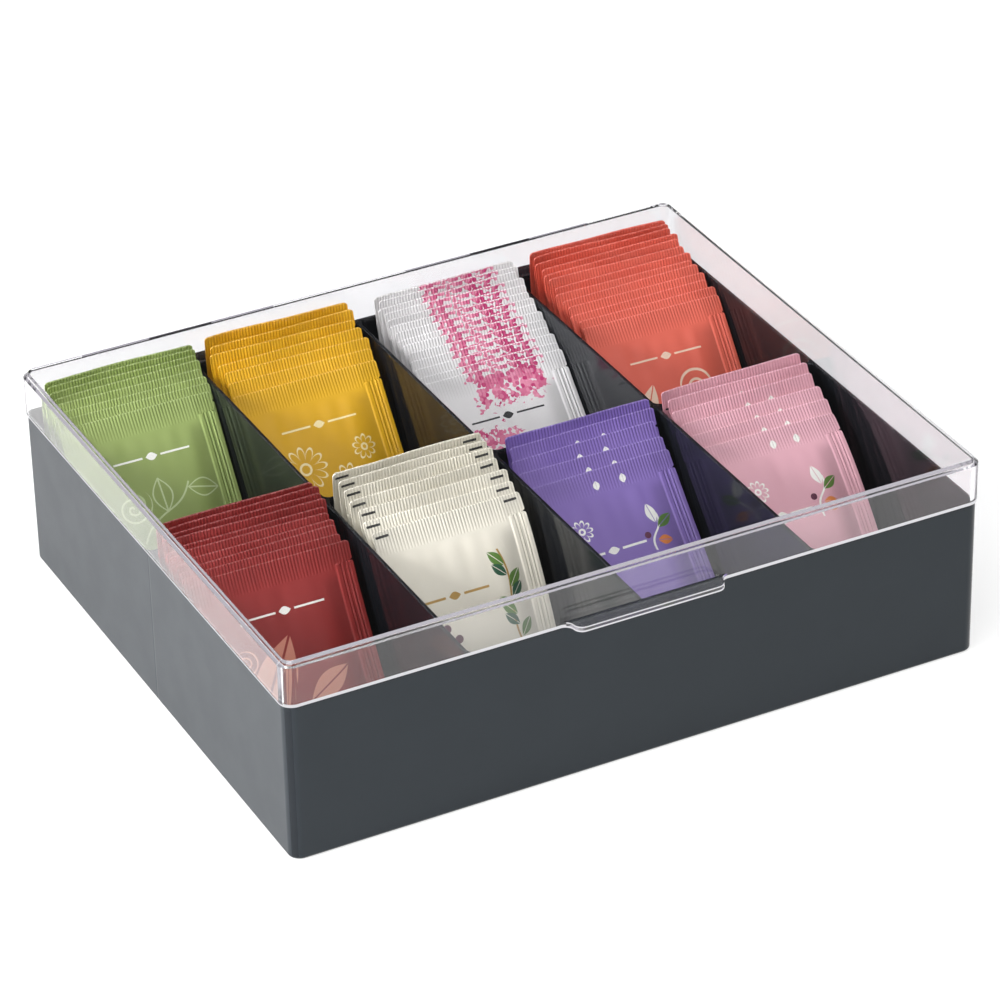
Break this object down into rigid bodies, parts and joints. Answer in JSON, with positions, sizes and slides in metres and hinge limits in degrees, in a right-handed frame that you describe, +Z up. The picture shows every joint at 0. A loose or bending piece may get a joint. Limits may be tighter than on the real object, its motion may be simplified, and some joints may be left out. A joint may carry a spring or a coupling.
{
  "type": "tea bag organizer box",
  "caption": "Shallow charcoal plastic tray with equal compartments that hold leaning rows of tea sachets, under a clear hinged lid with a pull lip at the front.",
  "frame": {"origin": "centre of the tray's flat underside, on the surface that the box stands on", "axes": "+X to the right along the front, -Y out of the front with the pull lip, +Z up"},
  "size_m": [0.3032, 0.2668, 0.0888],
  "materials": {
    "charcoal_plastic": "charcoal, fine satin outside and polished inside the compartments",
    "clear_plastic": "clear and polished, with a faint mauve tint in its edges",
    "pin_steel": "plain drawn steel wire",
    "green_paper": "green printed coated paper, satin, crimped at both ends",
    "yellow_paper": "golden yellow printed coated paper, satin, crimped at both ends",
    "white_paper": "white printed coated paper, satin, crimped at both ends",
    "red_paper": "coral red printed coated paper, satin, crimped at both ends",
    "maroon_paper": "maroon printed coated paper, satin, crimped at both ends",
    "cream_paper": "cream printed coated paper, satin, crimped at both ends",
    "purple_paper": "violet printed coated paper, satin, crimped at both ends",
    "pink_paper": "pale pink printed coated paper, satin, crimped at both ends"
  },
  "bodies": {
    "box": {"tray": "charcoal_plastic", "hinge_pin_left": "pin_steel", "hinge_pin_right": "pin_steel", "green_sachets": "green_paper", "green_front_sachet": "green_paper", "yellow_sachets": "yellow_paper", "yellow_front_sachet": "yellow_paper", "white_sachets": "white_paper", "white_front_sachet": "white_paper", "red_sachets": "red_paper", "red_front_sachet": "red_paper", "maroon_sachets": "maroon_paper", "maroon_front_sachet": "maroon_paper", "cream_sachets": "cream_paper", "cream_front_sachet": "cream_paper", "purple_sachets": "purple_paper", "purple_front_sachet": "purple_paper", "pink_sachets": "pink_paper", "pink_front_sachet": "pink_paper"},
    "lid": {"lid": "clear_plastic"}
  },
  "joints": [
    {"name": "lid_hinge", "type": "hinge", "parent": "box", "child": "lid", "pos_m": [0, 0.13, 0.0683], "axis": [-1, 0, 0], "range_deg": [0, 105]}
  ]
}
